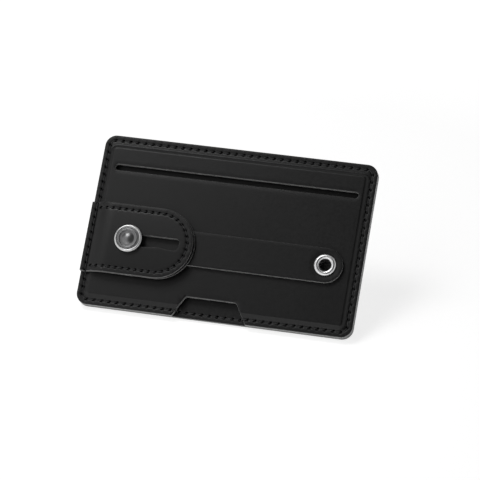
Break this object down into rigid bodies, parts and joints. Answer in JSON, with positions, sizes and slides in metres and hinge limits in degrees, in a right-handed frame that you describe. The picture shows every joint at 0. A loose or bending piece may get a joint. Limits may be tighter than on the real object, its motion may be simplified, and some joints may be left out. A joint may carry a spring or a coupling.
{
  "type": "stick-on phone card holder",
  "caption": "Flat stick-on card holder with a slotted card pocket, a thumb notch and a finger strap whose button slides in a stitched tab.",
  "frame": {"origin": "middle of the release liner's outer face, where the holder meets the phone", "axes": "+X along the holder from the tab to the eyelet, +Y across it towards the card slot, +Z out of its face"},
  "size_m": [0.098, 0.062, 0.0107],
  "materials": {
    "leather": "smooth matte black",
    "leather_back": "matte black",
    "thread": "black polyester",
    "nickel": "satin nickel plate",
    "foam": "foam tape",
    "liner": "silicone coated paper"
  },
  "bodies": {
    "holder": {"release_liner": "liner", "adhesive_pad": "foam", "back_panel": "leather_back", "front_panel": "leather", "strap": "leather", "tab_lining": "leather_back", "tab_face": "leather", "perimeter_thread": "thread", "perimeter_back_thread": "thread", "tab_thread": "thread", "eyelet": "nickel", "eyelet_washer": "nickel"},
    "button": {"button_cap": "nickel", "button_rivet": "nickel", "button_collar": "nickel", "button_washer": "nickel"}
  },
  "joints": [
    {"name": "button_slide", "type": "slide", "parent": "holder", "child": "button", "axis": [1, 0, 0], "range_m": [0, 0.016], "deforming": ["strap"]}
  ]
}
